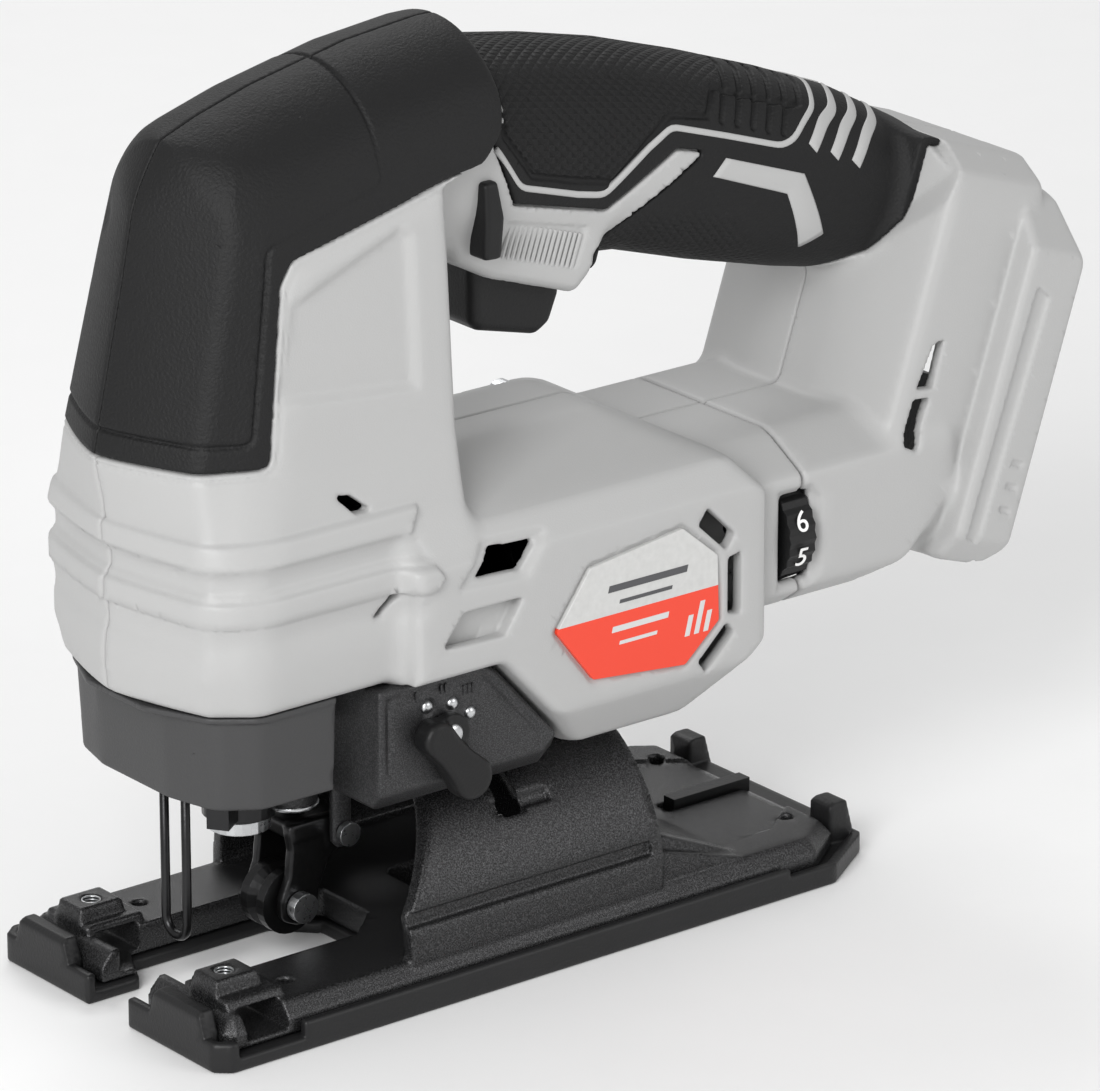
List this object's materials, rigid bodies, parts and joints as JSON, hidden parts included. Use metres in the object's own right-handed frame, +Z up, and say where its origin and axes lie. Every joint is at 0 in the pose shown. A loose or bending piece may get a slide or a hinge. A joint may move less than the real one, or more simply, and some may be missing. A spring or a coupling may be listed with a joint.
{
  "type": "cordless jigsaw",
  "caption": "Orbital jigsaw with a D handle, die-cast gearbox, tilting base and roller-guided blade clamp, bare tool without battery pack or blade.",
  "frame": {"origin": "underside of the sole in the middle plane, 110 mm behind the sole's front edge", "axes": "+Z up, -X the cutting direction, -Y the tool's left side with the orbit lever and the speed dial"},
  "size_m": [0.2328, 0.079, 0.1995],
  "materials": {
    "grey_plastic": "fine-grained light grey",
    "black_rubber": "soft black overmould",
    "black_plastic": "fine-grained black",
    "dark_plastic": "matt dark grey",
    "cast_alloy": "die cast, dark grey",
    "base_paint": "glossy black paint on cast metal",
    "steel": "machined",
    "dark_steel": "blackened",
    "copper": "copper",
    "bronze": "sintered bronze",
    "circuit_board": "board with a clear coat",
    "label": "printed film, silver over orange red"
  },
  "bodies": {
    "housing": {"front_shell_left": "grey_plastic", "front_shell_right": "grey_plastic", "rear_shell_left": "grey_plastic", "rear_shell_right": "grey_plastic", "nose_cover_left": "black_rubber", "nose_cover_right": "black_rubber", "grip_left": "black_rubber", "grip_right": "black_rubber", "side_label": "label", "housing_screw_1": "steel", "housing_screw_2": "steel", "housing_screw_3": "steel", "housing_screw_4": "steel", "housing_screw_5": "steel", "housing_screw_6": "steel", "housing_screw_7": "steel", "housing_screw_8": "steel", "gearbox": "cast_alloy", "lower_bush": "bronze", "upper_bush": "bronze", "push_rod": "steel", "gear_axle": "steel", "motor_can": "dark_steel", "stator": "copper", "end_cap": "black_plastic", "pinion_bearing": "steel", "front_bearing": "steel", "rear_bearing": "steel", "clamp_bolt": "steel", "clamp_shoe": "cast_alloy", "fork_pin": "steel", "front_skirt": "dark_plastic", "wire_guard": "steel", "dial_sensor": "circuit_board", "trigger_pin": "steel", "switch_module": "black_plastic", "controller_board": "circuit_board", "terminal_block": "black_plastic", "contact_1": "copper", "contact_2": "copper", "contact_3": "copper"},
    "base": {"sole": "black_plastic", "base_plate": "base_paint", "hex_key": "steel"},
    "rotor": {"rotor": "steel", "fan": "grey_plastic"},
    "drive_gear": {"drive_gear": "dark_steel"},
    "plunger": {"plunger": "steel", "clamp_body": "steel"},
    "clamp_lever": {"clamp_lever": "dark_steel"},
    "roller_fork": {"roller_fork": "steel", "roller_pin": "steel"},
    "guide_roller": {"guide_roller": "steel"},
    "orbit_lever": {"orbit_lever": "black_plastic"},
    "speed_dial": {"speed_dial": "black_plastic"},
    "trigger": {"trigger": "black_plastic"},
    "lock_off_button": {"lock_off_button": "black_plastic"}
  },
  "joints": [
    {"name": "base_tilt", "type": "hinge", "parent": "housing", "child": "base", "pos_m": [-0.025, 0, 0.0103], "axis": [1, 0, 0], "range_deg": [-45, 45]},
    {"name": "motor_spin", "type": "hinge", "parent": "housing", "child": "rotor", "pos_m": [0, 0, 0.079], "axis": [1, 0, 0], "continuous": true},
    {"name": "gear_spin", "type": "hinge", "parent": "housing", "child": "drive_gear", "pos_m": [-0.057, 0, 0.1035], "axis": [1, 0, 0], "continuous": true},
    {"name": "blade_stroke", "type": "slide", "parent": "housing", "child": "plunger", "axis": [0, 0, 1], "range_m": [-0.006, 0.02]},
    {"name": "clamp_release", "type": "hinge", "parent": "plunger", "child": "clamp_lever", "pos_m": [-0.076, 0, 0.042], "axis": [0, 0, 1], "range_deg": [0, 50], "stiffness_Nm_per_rad": 0.02, "springref_deg": -11.46},
    {"name": "orbit_swing", "type": "hinge", "parent": "housing", "child": "roller_fork", "pos_m": [-0.0555, 0, 0.03], "axis": [0, 1, 0], "range_deg": [0, 5]},
    {"name": "roller_spin", "type": "hinge", "parent": "roller_fork", "child": "guide_roller", "pos_m": [-0.066, 0, 0.0155], "axis": [0, 1, 0], "continuous": true},
    {"name": "orbit_setting", "type": "hinge", "parent": "housing", "child": "orbit_lever", "pos_m": [-0.048, -0.036, 0.0583], "axis": [0, 1, 0], "range_deg": [-12, 48]},
    {"name": "speed_setting", "type": "hinge", "parent": "housing", "child": "speed_dial", "pos_m": [0.046, -0.0243, 0.079], "axis": [1, 0, 0], "range_deg": [-135, 135]},
    {"name": "trigger_pull", "type": "hinge", "parent": "housing", "child": "trigger", "pos_m": [0.001, 0, 0.151], "axis": [0, 1, 0], "range_deg": [0, 8], "stiffness_Nm_per_rad": 4, "springref_deg": -5.73},
    {"name": "lock_off_push", "type": "slide", "parent": "housing", "child": "lock_off_button", "axis": [0, 1, 0], "range_m": [-0.003, 0.003]}
  ],
  "couplings": [
    {"joint": "motor_spin", "follows": "gear_spin", "ratio": -4.4444}
  ]
}
